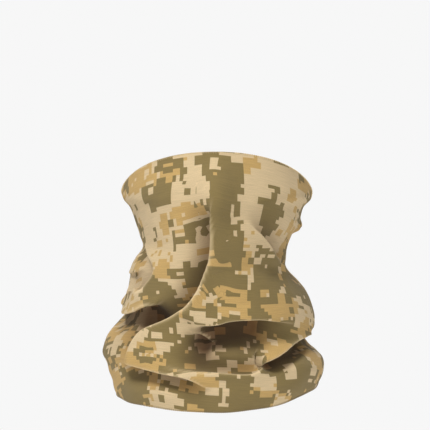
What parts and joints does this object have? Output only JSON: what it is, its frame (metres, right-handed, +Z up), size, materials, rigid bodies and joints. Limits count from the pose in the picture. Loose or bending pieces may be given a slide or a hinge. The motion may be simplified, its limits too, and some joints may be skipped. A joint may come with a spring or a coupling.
{
  "type": "neck gaiter",
  "caption": "Stretch jersey tube worn over nose, cheeks and neck, pinched under the jaw and bunched into soft folds at the collar, in a blocky sand and olive camouflage print.",
  "frame": {"origin": "on the head's vertical axis, level with the tube's top edge where it crosses the nose bridge", "axes": "+Z up along the head's axis; the wearer faces -Y; the wearer's left is +X"},
  "size_m": [0.1983, 0.2169, 0.2198],
  "materials": {
    "printed_jersey": "matt knitted jersey with a printed blocky sand, tan and olive camouflage of 3 mm squares",
    "edge_thread": "pale cream overlock thread",
    "seam_thread": "tan stretch sewing thread",
    "label_satin": "blank off-white woven satin ribbon"
  },
  "bodies": {
    "root": {"tube_panel": "printed_jersey", "top_edge_thread": "edge_thread", "bottom_edge_thread": "edge_thread", "back_seam_needle_thread_left": "seam_thread", "back_seam_needle_thread_right": "seam_thread", "back_seam_cover_thread": "seam_thread", "back_seam_looper_thread": "seam_thread", "care_label": "label_satin", "label_stitch_thread": "edge_thread"}
  },
  "joints": []
}
